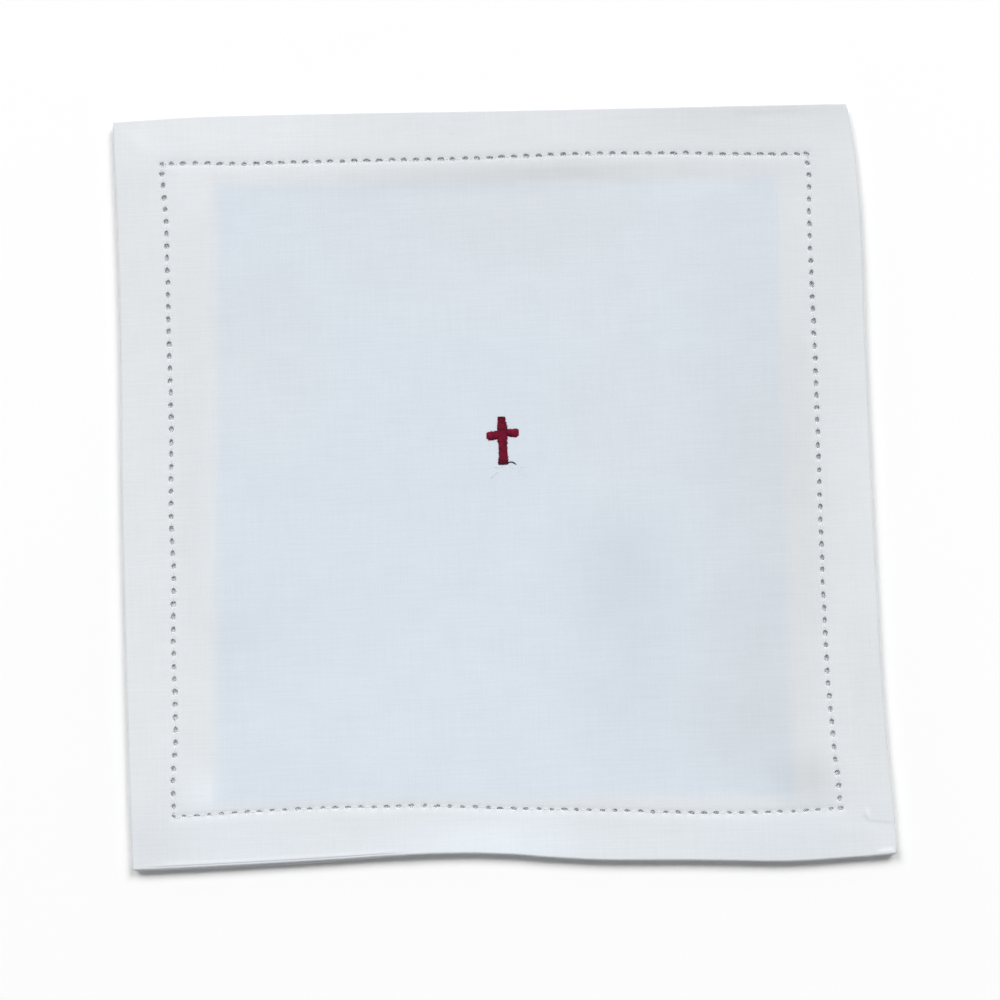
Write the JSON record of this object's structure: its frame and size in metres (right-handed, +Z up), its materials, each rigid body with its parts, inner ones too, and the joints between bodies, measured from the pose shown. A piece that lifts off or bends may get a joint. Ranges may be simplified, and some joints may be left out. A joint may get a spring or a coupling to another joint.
{
  "type": "chalice pall",
  "caption": "Square stiffened linen cloth with a hemstitched border and a small embroidered cross, laid over a chalice.",
  "frame": {"origin": "middle of the outline's box, on the underside", "axes": "+Z up out of the embroidered face, +Y towards the head of the cross, +X to the right of it"},
  "size_m": [0.1798, 0.182, 0.0046],
  "materials": {
    "linen": "matt white plain-woven linen",
    "board": "satin",
    "thread": "crimson satin stitch with a soft sheen"
  },
  "bodies": {
    "root": {"front_panel": "linen", "back_panel": "linen", "stiffener": "board", "cross": "thread"}
  },
  "joints": []
}
